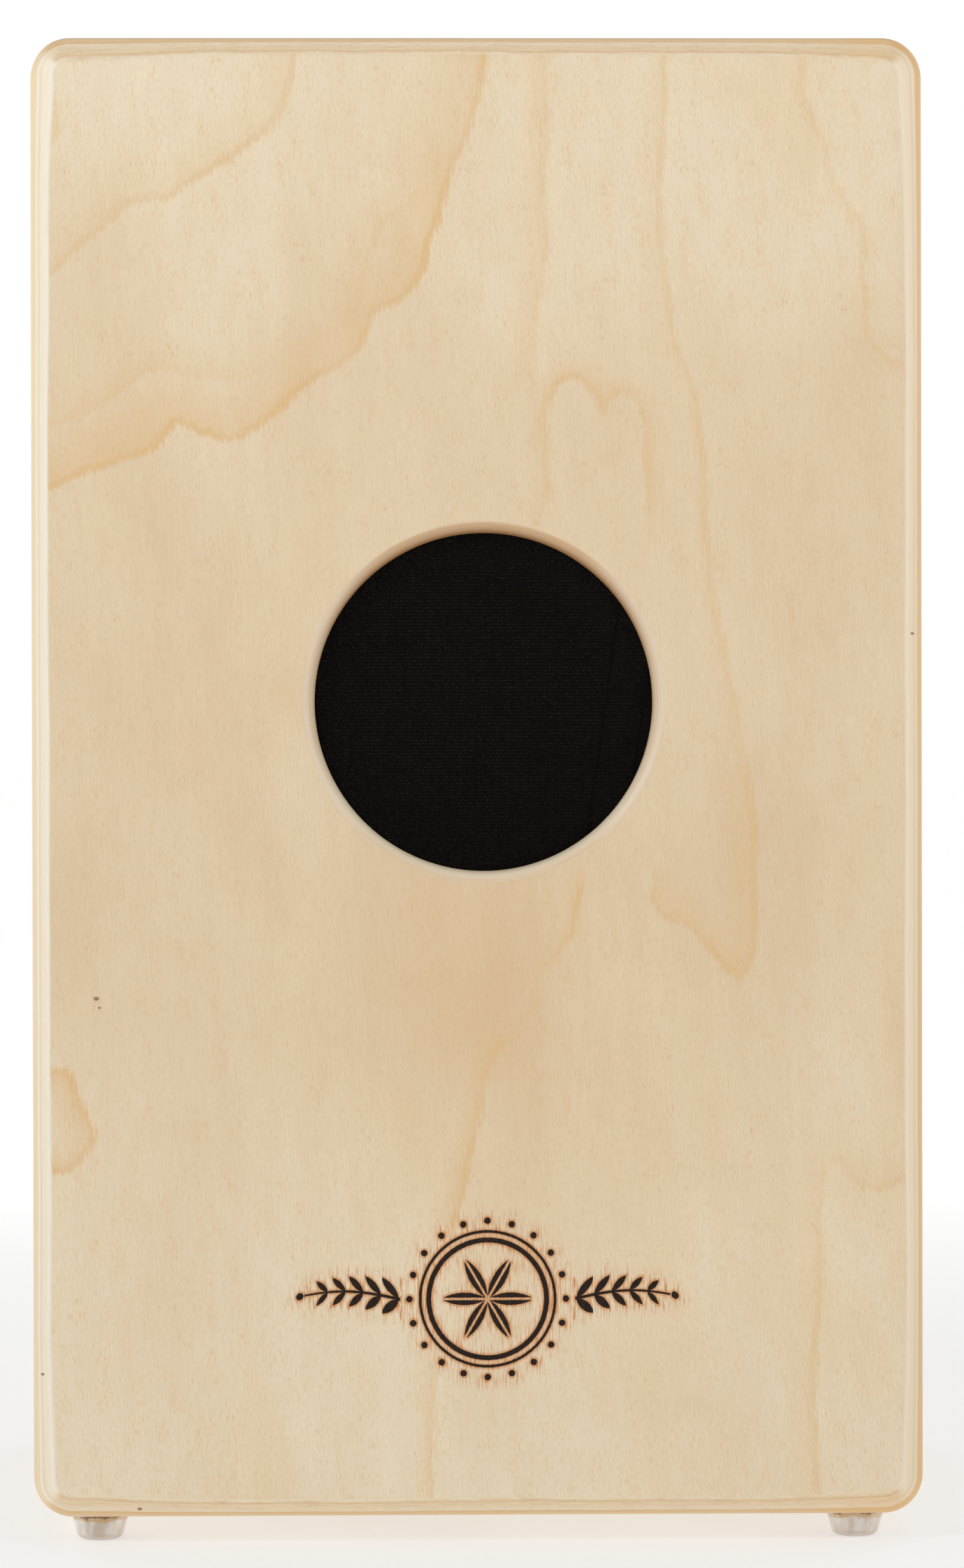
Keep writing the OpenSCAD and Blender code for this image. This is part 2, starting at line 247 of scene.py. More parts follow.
# Plies by their depth in mm: (depth, end-grain colour, long-grain colour)
# The whitish end-grain colours from about 0.12 to 0.34 mm deep are partly lighter sanded veneer and
# partly a painted highlight.
THIN_PLIES = (
    (0.00, rgb(232, 218, 192), rgb(230, 213, 182)),
    (0.12, rgb(240, 230, 210), rgb(236, 222, 194)),
    (0.26, rgb(246, 238, 222), rgb(228, 204, 168)),
    (0.34, rgb(244, 234, 214), rgb(222, 192, 150)),
    (0.46, rgb(244, 232, 208), rgb(230, 208, 172)),
    (0.95, rgb(242, 230, 206), rgb(232, 210, 176)),
    (1.16, rgb(236, 222, 194), rgb(234, 216, 186)),
    (1.36, rgb(234, 218, 188), rgb(234, 217, 188)),
    (1.56, rgb(244, 234, 212), rgb(236, 218, 188)),
    (2.02, rgb(244, 234, 214), rgb(236, 217, 184)),
    (2.16, rgb(236, 216, 182), rgb(214, 180, 132)),
    (2.34, rgb(242, 220, 184), rgb(226, 192, 142)),
    (3.86, rgb(240, 214, 172), rgb(234, 202, 154)),
    (3.98, rgb(212, 182, 138), rgb(210, 176, 132)),
    (4.12, rgb(242, 230, 206), rgb(232, 210, 176)),
    (5.60, rgb(240, 228, 202), rgb(230, 206, 170)),
    (5.74, rgb(208, 184, 146), rgb(206, 178, 140)),
    (6.20, rgb(232, 212, 178), rgb(230, 206, 168)),
)


def edge_plies(f, depth, end_grain, along, across):
    """The laminated edge of the 6 mm panel."""
    wave = (f.noise(along * 0.045, across * 0.045, depth * 0.05, 3.0) - 0.5) * 0.34
    grain = f.noise(along * 0.11, across * 0.11, depth * 4.0, 4.0, 0.7) * 0.6
    grain = grain + f.noise(along * 0.4, across * 0.4, depth * 7.0, 3.0, 0.6) * 0.4
    level = (depth + wave) / PLY_REACH
    ends = f.ramp(level, [(d / PLY_REACH, end) for d, end, _ in THIN_PLIES])
    longs = f.ramp(level, [(d / PLY_REACH, side) for d, _, side in THIN_PLIES])
    colour = f.mix(end_grain, longs, ends)
    return f.mix((grain - 0.46) * (1.7 - end_grain * 1.3), colour, rgb(196, 150, 98)), grain


FIGURE_BASE = 9.0  # how far below the panel's lower edge the heights in FIGURES and SPOTS start

# Growth lines of the sound hole panel: the strength and the width of the soft shade on one side
# of the line, the strength of the line, and its points, across from the middle and up from
# FIGURE_BASE, in mm
FIGURES = (
    (0.34, 18.0, 0.66, ((-54, 505), (-59, 480), (-62, 468), (-67, 460), (-80, 450), (-92, 442),
                        (-100, 437), (-112, 435), (-125, 424), (-138, 413), (-160, 398))),
    (0.80, 26.0, 0.92, ((8, 505), (3, 480), (-2, 460), (-8, 445), (-14, 425), (-18, 412),
                        (-25, 404), (-33, 400), (-38, 388), (-50, 380), (-58, 374), (-68, 365),
                        (-80, 359), (-92, 362), (-98, 364), (-105, 356), (-115, 352), (-125, 349),
                        (-138, 343), (-160, 336))),
    (0.42, 15.0, 0.36, ((-9, 462), (-20, 436), (-30, 428), (-37, 410), (-42, 398), (-52, 391),
                        (-62, 387), (-75, 378), (-90, 379), (-105, 381), (-118, 372), (-130, 366),
                        (-160, 356))),
    (0.30, 8.0, 0.50, ((62, 505), (62, 480), (61, 462), (60, 440), (61, 420), (63, 405), (66, 390),
                       (71, 375), (74, 355), (75, 335), (77, 310), (81, 290), (84, 275), (87, 255),
                       (90, 235), (91, 222))),
    (0.66, 17.0, 0.62, ((87, 262), (90, 238), (91, 212), (90, 192), (86, 184), (80, 187), (74, 194),
                        (67, 201), (59, 205), (56, 212), (58, 226))),
    (0.24, 7.0, 0.46, ((107, 505), (107, 480), (108, 468), (113, 455), (116, 445), (122, 435),
                       (127, 427), (127, 410), (128, 396), (133, 387), (150, 379))),
    (0.52, 9.0, 0.50, ((55, 322), (55, 345), (53, 366), (50, 373), (45, 373), (40, 368), (37, 375),
                       (31, 379), (25, 374), (23, 362), (24, 345), (19, 325))),
    (0.72, 13.0, 0.56, ((37, 226), (34, 212), (32, 200), (27, 192), (21, 185), (19, 175), (15, 166),
                        (6, 160), (3, 150), (1, 140), (-2, 125), (-6, 108), (-11, 92))),
    (0.70, 13.0, 0.70, ((-160, 162), (-138, 155), (-133, 155), (-129, 146), (-126, 139),
                        (-124, 134), (-127, 128), (-132, 122), (-139, 121), (-160, 118))),
    (0.36, 12.0, 0.40, ((160, 120), (138, 117), (130, 114), (122, 118), (116, 124), (112, 112),
                        (112, 80), (110, 50), (111, 20), (110, -10))),
    (0.30, 9.0, 0.30, ((-152, 482), (-139, 474), (-135, 465), (-137, 455), (-152, 446))),
    (0.40, 12.0, 0.16, ((19, 505), (24, 470), (22, 440), (23, 420), (20, 398), (19, 380),
                        (23, 366))),
    (0.44, 8.0, 0.20, ((-12, 74), (-14, 50), (-15, 30), (-14, -10))),
)


def smooth_path(points, step):
    """Points about step apart on a Catmull-Rom curve through points."""
    p = np.array(points, float)
    p = np.vstack((2 * p[0] - p[1], p, 2 * p[-1] - p[-2]))
    out = []
    for a, b, c, d in zip(p, p[1:], p[2:], p[3:]):
        count = max(2, int(np.linalg.norm(c - b) / step))
        t = np.arange(count)[:, None] / count
        out.append(b + (c - a) * t / 2 + (2 * a - 5 * b + 4 * c - d) * t * t / 2
                   + (3 * b - a - 3 * c + d) * t ** 3 / 2)
    return np.vstack((*out, p[-2]))


def figure_field(places, points):
    """Each place's signed distance to the line, and a share that fades towards the line's ends."""
    line = smooth_path(points, 2.0)
    nearest = np.zeros(len(places), int)
    best = np.full(len(places), 1e9)
    for i, q in enumerate(line):
        far = np.hypot(*(places - q).T)
        closer = far < best
        best[closer], nearest[closer] = far[closer], i
    ahead = line[np.clip(nearest + 1, 0, len(line) - 1)]
    behind = line[np.clip(nearest - 1, 0, len(line) - 1)]
    along, off = ahead - behind, places - line[nearest]
    along /= np.linalg.norm(along, axis=1)[:, None]
    side = along[:, 0] * off[:, 1] - along[:, 1] * off[:, 0]
    slip = np.abs(np.sum(along * off, axis=1))
    fade = np.clip(np.minimum(nearest, len(line) - 1 - nearest) / 7, 0, 1)
    fade *= np.clip(1 - (slip - 2) / 6, 0, 1)
    return np.stack((side, fade, np.zeros(len(places))), axis=1)


def mesh_object(name, points, faces, finish, sharp=40.0):
    """A mesh from points in mm and faces, smooth but for edges sharper than sharp degrees."""
    mesh = bpy.data.meshes.new(name)
    mesh.from_pydata((np.asarray(points) * MM).tolist(), [], [tuple(face) for face in faces])
    mesh.validate()
    mesh.shade_smooth()
    mesh.set_sharp_from_angle(angle=math.radians(sharp))
    mesh.materials.append(finish)
    piece = bpy.data.objects.new(name, mesh)
    bpy.context.scene.collection.objects.link(piece)
    return piece


def ring_faces(rings, count, closed=False):
    """Quads between rings of count points each."""
    faces = []
    for ring in range(rings if closed else rings - 1):
        a, b = ring * count, (ring + 1) % rings * count
        faces += [(a + i, a + (i + 1) % count, b + (i + 1) % count, b + i) for i in range(count)]
    return faces


# ---- the sound hole panel ----------------------------------------------------------------------

SIDE_ROUND, END_ROUND = 7.2, 7.2  # how far the rounded edge reaches in, at the sides and the ends
CORNER_ROUND, CORNER_TAIL = 2.2, 24.0  # how much further at the corners, and over what length
EDGE_RINGS, FACE_RINGS, RIM_RINGS = 12, 72, 8  # steps of the mesh on the edge, the face, the rim


def panel_outline(step, corner_steps):
    """Points round the panel's outline, each with its inward direction and its rounding's reach."""
    r = panel_t
    points, inward, extent = [], [], []
    for sx, sz, start in ((1, 1, 0), (-1, 1, 90), (-1, -1, 180), (1, -1, 270)):
        centre = np.array((sx * (half_w - r), body_z + sz * (half_h - r)))
        for k in range(corner_steps + 1):
            angle = math.radians(start + 90 * k / corner_steps)
            out = np.array((math.cos(angle), math.sin(angle)))
            points.append(centre + r * out)
            inward.append(-out)
            extent.append(SIDE_ROUND * out[0] ** 2 + END_ROUND * out[1] ** 2 + CORNER_ROUND)
        long_side = 2 * ((half_w if sx * sz > 0 else half_h) - r)
        heading = math.radians(start + 180)
        travel = np.array((math.cos(heading), math.sin(heading)))
        count = int(long_side / step)
        first, towards = points[-1], inward[-1]
        for k in range(1, count):
            run = long_side * k / count
            points.append(first + travel * run)
            inward.append(towards)
            extra = CORNER_ROUND * math.exp(-(min(run, long_side - run) / CORNER_TAIL) ** 1.5)
            extent.append((END_ROUND if abs(towards[0]) < 0.5 else SIDE_ROUND) + extra)
    return np.array(points), np.array(inward), np.array(extent)


def build_back_panel(finish):
    outline, inward, extent = panel_outline(step=4.0, corner_steps=14)
    count = len(outline)
    run = np.arange(count) / count * 2 * math.pi
    extent *= (1 + 0.03 * np.sin(5 * run + 0.7) + 0.025 * np.sin(11 * run + 2.1)
               + 0.015 * np.sin(23 * run))
    middle = np.array((hole_x, hole_z))
    angle = np.arctan2(*(outline - middle).T[::-1])
    spoke = np.stack((np.cos(angle), np.sin(angle)), axis=1)

    def ring(flat, y):
        return np.stack((flat[:, 0], np.full(count, y), flat[:, 1]), axis=1)

    rings = []
    for k in range(EDGE_RINGS + 1):
        a = math.pi / 2 * k / EDGE_RINGS
        rings.append(ring(outline + inward * (extent * (1 - math.cos(a)))[:, None],
                          shell_back - back_t * math.sin(a)))
    outer = outline + inward * extent[:, None]
    inner = middle + spoke * (HOLE_R + RIM_R)
    for k in range(1, FACE_RINGS + 1):
        t = k / FACE_RINGS
        rings.append(ring(outer * (1 - t) + inner * t, face_y))
    for k in range(1, RIM_RINGS + 1):
        b = math.pi / 2 * k / RIM_RINGS
        rings.append(ring(middle + spoke * (HOLE_R + RIM_R * (1 - math.sin(b))),
                          face_y + RIM_R * (1 - math.cos(b))))
    rings.append(ring(middle + spoke * HOLE_R, shell_back))
    for t in (0.2, 0.5, 0.8):
        rings.append(ring((middle + spoke * HOLE_R) * (1 - t) + outline * t, shell_back))
    points = np.vstack(rings)
    panel = mesh_object("back_panel_wood", points, ring_faces(len(rings), count, True), finish)
    places = points[:, [0, 2]] - (0, base_z - FIGURE_BASE)
    for number, (*_, line) in enumerate(FIGURES):
        field = panel.data.attributes.new(f"figure_{number}", "FLOAT_VECTOR", "POINT")
        field.data.foreach_set("vector", figure_field(places, line).astype(np.float32).ravel())
    return panel


BURN_X, BURN_Z = 0.8, 71  # middle of the ornament, right of the hole's and above the lower edge
ROSETTE_SCALE = 1.26      # size of the rosette against its own drawing
SPRIG_START = 28.5        # distance of a sprig's root from the ornament's middle
STEM_LONG = 31.0          # length of its stem
TIP_RUN = 32.5            # distance of the bead at its tip from its root
LEAF_PITCH = 5.8          # distance from one pair of leaves to the next, of five pairs
LEAF_TILT = math.radians(46)


def rosette(x, z):
    """Distance to a flower of six petals in a double ring with beads, below 0 inside a stroke."""
    r = hypot(x, z)
    angle = z.op("ARCTAN2", x)
    fold = abs((angle + math.radians(30)).op("FLOORED_MODULO", math.radians(60)) - math.radians(30))
    petal_r = 12.0
    px, pz = r * fold.op("COSINE"), r * fold.op("SINE")
    petal = hypot(px - petal_r / 2, pz + petal_r * math.sqrt(3) / 2) - petal_r
    vein = 0.34 - pz
    petal = petal.high(vein.high(px - petal_r * 0.93))
    ring = abs(r - 15.2) - 0.62
    ring = ring.low(abs(r - 17.4) - 0.34)
    turn = (angle + math.radians(9)).op("FLOORED_MODULO", math.radians(18)) - math.radians(9)
    beads = hypot(r * turn.op("COSINE") - 20.2, r * turn.op("SINE")) - 0.82
    return petal.low(ring).low(beads)


def sprig(x, z):
    """Distance to a sprig on each side: a stem with pairs of leaves that get smaller outwards."""
    run = abs(x) - SPRIG_START
    stem_z = (run * 0.085).op("SINE") * 2.6
    off = z - stem_z
    taper = 1 - run / 34 * 0.5
    stem = (abs(off) - taper * 0.5).high(abs(run - STEM_LONG / 2) - STEM_LONG / 2)
    cell = run.op("FLOORED_MODULO", LEAF_PITCH) / taper
    side = abs(off) / taper
    cos_t, sin_t = math.cos(LEAF_TILT), math.sin(LEAF_TILT)
    a = (cell - 0.3) * cos_t + side * sin_t
    b = side * cos_t - (cell - 0.3) * sin_t
    leaf_l, leaf_w = 9.0, 2.7
    bow = (leaf_l ** 2 / 4 + leaf_w ** 2 / 4) / leaf_w
    leaf = (hypot(a - leaf_l / 2, abs(b) + (bow - leaf_w / 2)) - bow) * taper
    leaf = leaf.high(abs(run - LEAF_PITCH * 2.5) - LEAF_PITCH * 2.5)
    tip = hypot(run - TIP_RUN, off) - 1.15
    return stem.low(leaf).low(tip)


# Small dark marks in the sound hole panel: across, up from FIGURE_BASE, and radius, in mm
SPOTS = ((-110.4, 12.0, 0.75), (-141.8, 56.0, 0.6), (-124.0, 178.0, 0.9), (141.5, 296.0, 0.6),
         (-123.0, 175.0, 0.5))


def back_panel_finish():
    f = Finish("birch_face", **LACQUER)
    x, z = f.x, f.z - (base_z - FIGURE_BASE)
    jag = f.noise(x * 0.9, 0.0, z * 0.09, 4.0, 0.8) - 0.5
    sway = f.noise(x * 0.06, 3.0, z * 0.06, 2.0) - 0.5
    figure = None
    for number, (fill, soft, edge, _) in enumerate(FIGURES):
        side, fade, _ = f.attribute(f"figure_{number}")
        level = jag * 9.0 + sway * 3.0 - side
        shade = level.step(-0.8, 1.2) * level.step(0.5, soft, 1.0, 0.0)
        ridge = level.step(-1.0, 0.4) * level.step(0.8, 3.4, 1.0, 0.0)
        line = (shade * fill * 0.75 + ridge * edge * 0.55) * fade
        figure = line if figure is None else figure.high(line)
    uneven = f.noise(x * 0.035, 7.0, z * 0.014, 2.0).step(0.3, 0.62, 0.55, 1.0)
    # Darker below the hole and across the middle height, and more orange below the hole.
    below = hypot((x - 8) / 75, (z - 175) / 95).step(0.0, 1.35, 0.14, 0.0)
    middle = abs(z - 285).step(50, 210, 0.24, 0.0)
    figure = (figure * uneven * 0.95).high(below * 1.4)
    colour, rough, height = veneer(f, x, f.y, f.z, below + middle, figure)

    # The laminated edges: the outer round-over and the rim of the hole
    depth = f.y - face_y
    from_hole = hypot(f.x - hole_x, f.z - hole_z)
    rim = from_hole.step(HOLE_R + RIM_R + 2, HOLE_R + RIM_R + 3, 1.0, 0.0)
    end_grain = (abs(f.nx) / (hypot(f.nx, f.nz) + 0.001)).step(0.5, 0.85)
    plies, grain = edge_plies(f, depth, end_grain, f.z + f.x, f.x * 0.3)
    on_edge = depth.step(0.02, 0.16)
    # Painted shade: the plies of the right-hand edge are more orange, the deeper plies most.
    plies = f.mix(f.x.step(90, 140) * depth.step(1.6, 2.6, 0.25, 0.8), plies, rgb(228, 184, 122))
    colour = f.mix(on_edge, colour, plies)
    colour = f.mix(rim * on_edge * 0.4, colour, rgb(204, 162, 112))
    # Painted shade on the top of the hole's rim, where it faces down, deepest away from the face; and a
    # painted highlight on its bottom, where it faces up.
    lower = f.nz.step(-0.7, 0.1, 1.0, 0.0)
    shade = rim * on_edge * lower * depth.step(0.2, 3.5, 0.5, 0.95)
    colour = f.mix(shade, colour, rgb(172, 124, 80))
    upper = f.nz.step(0.0, 0.7)
    colour = f.mix(rim * on_edge * (upper * 0.6), colour, rgb(252, 240, 216))

    # The small dark marks, on the face and on the first plies
    for spot_x, spot_z, size in SPOTS:
        spot = hypot((f.x - spot_x) * 0.7, z - spot_z).step(size * 0.4, size, 0.85, 0.0)
        spot = spot * depth.step(2.5, 4.0, 1.0, 0.0)
        colour = f.mix(spot, colour, rgb(128, 88, 54))

    # The burned ornament, with its scorched wood along the grain
    burn_x, burn_z = f.x - hole_x - BURN_X, f.z - base_z - BURN_Z
    art = rosette(burn_x / ROSETTE_SCALE, burn_z / ROSETTE_SCALE) * ROSETTE_SCALE
    art = art.low(sprig(burn_x, burn_z))
    wobble = f.noise(f.x * 1.3, 0.0, f.z * 0.7, 2.0) - 0.5
    art = art + wobble * 0.35
    front = f.ny.step(-0.99, -0.9, 1.0, 0.0)
    char = art.step(-0.12, 0.16, 1.0, 0.0) * front
    uneven_burn = f.noise(f.x * 0.9, 2.0, f.z * 0.5, 3.0, 0.6)
    streaks = f.noise(f.x * 2.2, 4.0, f.z * 0.16, 2.0).step(0.45, 0.72)
    halo = (art.step(0.0, 1.2, 0.9, 0.0) + art.step(0.3, 5.5, 1.2, 0.0) * streaks) * front
    colour = f.mix(halo * 0.8, colour, rgb(206, 136, 70))
    burnt = f.mix(uneven_burn.step(0.35, 0.75), rgb(16, 8, 3), rgb(48, 24, 10))
    colour = f.mix(char, colour, burnt)
    height = height * (1 - on_edge * 0.5) - char * 5.0 + grain * on_edge * 0.8
    plug(f.tree, f.shader.inputs["Coat Weight"], (1 - char * 0.9) * LACQUER["Coat_Weight"])
    return f.finish(colour, rough + char * 0.4, height, 0.05)


PLY = 1.44  # thickness in mm of one of the nine plies


def thick_ply_finish(name, across, depth, along, edge_axis):
    """13 mm birch plywood. edge_axis is the axis that its plies are stacked along."""
    f = Finish(name, **LACQUER)
    axes = {"x": f.x, "y": f.y, "z": f.z}
    colour, rough, height = veneer(f, axes[across], axes[depth], axes[along])
    normals = {"x": f.nx, "y": f.ny, "z": f.nz}
    near = (half_w - abs(f.x)) if edge_axis == "x" else (half_h - abs(f.z - body_z))
    level = near + (f.noise(f.x * 0.04, f.y * 0.02, f.z * 0.04, 2.0) - 0.5) * 0.22
    cell = (level / (2 * PLY)).op("FRACT")
    grain = f.noise(f.x * 0.6, f.y * 0.12, f.z * 0.6, 3.0, 0.6)
    bands = f.ramp(cell, [
        (0.00, rgb(236, 222, 196)), (0.46, rgb(233, 218, 190)), (0.49, rgb(196, 166, 124)),
        (0.53, rgb(226, 200, 160)), (0.96, rgb(222, 194, 152)), (0.99, rgb(198, 168, 126)),
        (1.00, rgb(236, 222, 196)),
    ])
    bands = f.mix((grain - 0.45) * 0.7, bands, rgb(176, 132, 86))
    on_edge = abs(normals[edge_axis]).step(0.90, 0.985, 1.0, 0.0)
    colour = f.mix(on_edge, colour, bands)
    return f.finish(colour, rough, height, 0.05)


def front_plate_finish():
    f = Finish("birch_plate", **LACQUER)
    bend = f.noise(f.x * 0.0085, 9.0, f.z * 0.0024, 2.0)
    ragged = f.noise(f.x * 0.5, 0.0, f.z * 0.03, 3.0, 0.7) * 0.12
    rings = (bend * 8 + f.x * 0.016 + ragged).op("FRACT")
    figure = rings.step(0.0, 0.72, 0.0, 0.34) * rings.step(0.86, 1.0, 1.0, 0.0)
    colour, rough, height = veneer(f, f.x, f.y, f.z, 0.0, figure)
    depth = (plate_high[1] - f.y) / (plate_high[1] - plate_low[1])
    bands = f.ramp(depth, [
        (0.00, rgb(232, 212, 178)), (0.30, rgb(230, 208, 172)), (0.33, rgb(190, 158, 116)),
        (0.37, rgb(236, 224, 200)), (0.63, rgb(234, 220, 194)), (0.66, rgb(190, 158, 116)),
        (0.70, rgb(228, 204, 166)), (1.00, rgb(228, 204, 166)),
    ])
    on_edge = abs(f.ny).step(0.90, 0.985, 1.0, 0.0)
    return f.finish(f.mix(on_edge, colour, bands), rough, height, 0.05)


def beech_finish():
    f = Finish("beech_wood", Specular_IOR_Level=0.4)
    grain = f.noise(f.x * 0.05, f.y * 0.9, f.z * 0.9, 3.0, 0.6)
    ray = f.noise(f.x * 0.55, f.y * 2.4, f.z * 2.4, 1.0).step(0.62, 0.74)
    colour = f.mix((grain - 0.3) * 1.3, rgb(214, 176, 134), rgb(182, 138, 98))
    colour = f.mix(ray * 0.5, colour, rgb(150, 104, 70))
    return f.finish(colour, grain * 0.2 + 0.45, grain - ray * 0.6, 0.06)


# ---- metals, net, clear plastic ----------------------------------------------------------------

def metal_finish(name, light, dark, rough):
    f = Finish(name, Metallic=1.0)
    haze = f.noise(f.x * 0.5, f.y * 0.5, f.z * 0.5, 3.0, 0.6)
    lines = f.noise(f.x * 6, f.y * 6, f.z * 6, 2.0, 0.6)
    colour = f.mix(haze.step(0.3, 0.8) * 0.6, light, dark)
    return f.finish(colour, haze * 0.18 + lines * 0.14 + rough, lines, 0.02)


def net_finish():
    f = Finish("net_thread", Specular_IOR_Level=0.05)
    twist = f.noise(f.x * 9, f.y * 9, f.z * 9, 2.0)
    worn = f.noise(f.x * 0.06, f.y, f.z * 0.06, 3.0)
    colour = f.mix(worn, rgb(3, 2, 2), rgb(8, 6, 5))
    return f.finish(colour, twist * 0.2 + 0.42, twist, 0.03)


def clear_finish():
    """Cloudy clear plastic, with painted light by height: painted shade at its lower edge, a painted
    gold band near its top that stands for the screw behind it, and a painted contact shadow at its top.
    """
    f = Finish("clear_foot", Transmission_Weight=0.15, IOR=1.46, Coat_Weight=0.7,
               Coat_Roughness=0.05)
    haze = f.noise(f.x * 0.22, f.y * 0.22, f.z * 0.07, 3.0)
    blot = f.noise(f.x * 0.30, f.y * 0.30, f.z * 0.5 + 4, 3.0, 0.6)
    colour = f.mix(haze.step(0.36, 0.62), rgb(236, 230, 223), rgb(210, 194, 179))
    # Painted shade along the foot's lower edge.
    colour = f.mix(f.z.step(1.2, 2.6, 0.8, 0.0), colour, rgb(196, 176, 158))
    # A painted gold band near the top: the screw's head as seen through the plastic.
    colour = f.mix((f.z + blot * 4).step(8.2, 8.9) * 0.85, colour, rgb(208, 170, 112))
    # A painted contact shadow at the top, under the body.
    colour = f.mix((f.z + blot * 5).step(9.9, 10.8) * 0.9, colour, rgb(122, 78, 46))
    return f.finish(colour, haze * 0.10 + 0.06, haze, 0.01)


def string_finish():
    f = Finish("wound_string", Metallic=1.0)
    turn = (f.z * (2 * math.pi / 0.32)).op("SINE")
    haze = f.noise(f.x * 0.4, f.y * 0.4, f.z * 0.12, 2.0)
    colour = f.mix(haze, rgb(214, 160, 106), rgb(176, 118, 72))
    return f.finish(colour, haze * 0.15 + 0.22, turn, 0.05)


finishes = {
    "face": back_panel_finish(),
    "ends": thick_ply_finish("birch_ply_ends", "x", "z", "y", "z"),
    "sides": thick_ply_finish("birch_ply_sides", "y", "x", "z", "x"),
    "plate": front_plate_finish(),
    "beech": beech_finish(),
    "zinc": metal_finish("zinc_steel", rgb(196, 198, 200), rgb(150, 152, 156), 0.16),
    "gold": metal_finish("yellow_zinc", rgb(226, 190, 118), rgb(190, 148, 84), 0.14),
    "brass": metal_finish("brass", rgb(222, 186, 110), rgb(188, 146, 78), 0.2),
    "net": net_finish(),
    "clear": clear_finish(),
    "string": string_finish(),
}
CARRIED = {
    "ends": ("top_panel", "bottom_panel"),
    "sides": ("left_side_panel", "right_side_panel"),
    "plate": ("front_plate",),
    "beech": ("corner_block_top_left", "corner_block_top_right", "corner_block_bottom_left",
              "corner_block_bottom_right", "string_rail", "tuner_block"),
    "zinc": ("front_plate_screws", "net_staples", "tuner_block_screws", "foot_washers",
             "tension_screw_left", "tension_screw_right", "tension_washers"),
    "gold": ("foot_screws",),
    "brass": ("tension_nut_left", "tension_nut_right"),
}
for key, names in CARRIED.items():
    for name in names:
        data = nodes[name].data
        data.materials.clear()
        data.materials.append(finishes[key])
        data.shade_smooth()
        data.set_sharp_from_angle(angle=math.radians(28))

back_panel = build_back_panel(finishes["face"])
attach(back_panel, BODY)
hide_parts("back_panel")


# ---- the net behind the hole -------------------------------------------------------------------

CELL_W, CELL_ROW = 0.97, 1.08   # width of a mesh of the net, and height from row to row
CELL_H, CELL_SIDE = 1.44, 0.72  # height of a mesh, and length of its upright threads
OPEN = 0.44                     # share of a mesh that is open
THREAD_RISE = 0.13              # how far a thread's middle stands proud of its edges


def build_net(finish):
    side = net_high[0] - net_low[0]
    middle_y = (net_low[1] + net_high[1]) / 2
    rows = int((side - CELL_H) / CELL_ROW) + 1
    columns = int(side / CELL_W - 0.5)
    j, i = np.meshgrid(np.arange(rows), np.arange(columns), indexing="ij")
    cx = ((i + 0.5 * (j % 2)) * CELL_W).ravel()
    cz = (j * CELL_ROW).ravel()
    cx += hole_x - (cx.min() + cx.max()) / 2
    cz += hole_z - (cz.min() + cz.max()) / 2
    w, h, s = CELL_W / 2, CELL_H / 2, CELL_SIDE / 2
    corners = np.array(((0, h), (w, s), (w, -s), (0, -h), (-w, -s), (-w, s)))
    outer = np.stack((cx, cz), axis=1)[:, None, :] + corners
    inner = np.stack((cx, cz), axis=1)[:, None, :] + corners * OPEN
    flat = outer.reshape(-1, 2)
    keys = np.round(flat / 0.02).astype(np.int64)
    _, first, shared = np.unique(keys, axis=0, return_index=True, return_inverse=True)
    shared = shared.ravel()
    knots = flat[first]
    holes = inner.reshape(-1, 2)
    points = np.vstack([
        np.stack((flat[:, 0], np.full(len(flat), y), flat[:, 1]), axis=1)
        for flat, y in ((knots, middle_y - THREAD_RISE / 2), (holes, middle_y + THREAD_RISE / 2))])
    base = np.arange(len(cx))[:, None] * 6
    k, after = np.arange(6), (np.arange(6) + 1) % 6
    faces = np.stack((shared[base + k], shared[base + after],
                      len(knots) + base + after, len(knots) + base + k), axis=2).reshape(-1, 4)
    net = mesh_object("net_of_threads", points, faces, finish, sharp=180.0)
    area = sum(face.area for face in net.data.polygons)
    return net, area


net, thread_area = build_net(finishes["net"])
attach(net, BODY)
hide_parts("hole_net")


# ---- feet --------------------------------------------------------------------------------------

def lathe(name, profile, centre, finish, steps=72):
    """A closed profile of (radius, height) in mm, turned round the upright axis at centre."""
    turn = np.arange(steps) / steps * 2 * math.pi
    rings = [np.stack((centre[0] + r * np.cos(turn), centre[1] + r * np.sin(turn),
                       np.full(steps, centre[2] + z)), axis=1) for r, z in profile]
    faces = [face[::-1] for face in ring_faces(len(rings), steps, True)]
    return mesh_object(name, np.vstack(rings), faces, finish)


FOOT_EDGE = 3.0    # radius of a foot's lower edge
POCKET_R = 4.5     # radius of the pocket for the washer and the screw's head
SEAT = 6.0         # height of the washer's seat
BORE_R = 2.05      # radius of the hole for the screw's shank


def build_foot(node, finish):
    low, high = box_mm(node)
    top_r = (high[0] - low[0]) / 2
    bottom_r, height = top_r - 1.75, high[2] - low[2]
    edge = [(bottom_r - FOOT_EDGE * (1 - math.cos(a)), FOOT_EDGE * (1 + math.sin(a)))
            for a in np.radians(np.linspace(-90, -8, 10))]
    flank = [(bottom_r + (top_r - bottom_r) * t, FOOT_EDGE + (height - FOOT_EDGE) * t)
             for t in (0.1, 0.4, 0.7, 0.97, 1.0)]
    inner = [(BORE_R, height), (BORE_R, SEAT), (POCKET_R, SEAT), (POCKET_R, 0.3),
             (POCKET_R + 0.3, 0)]
    centre = ((low[0] + high[0]) / 2, (low[1] + high[1]) / 2, low[2])
    foot = lathe(f"{node}_clear", edge + flank + inner, centre, finish)
    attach(foot, BODY)
    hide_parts(node)


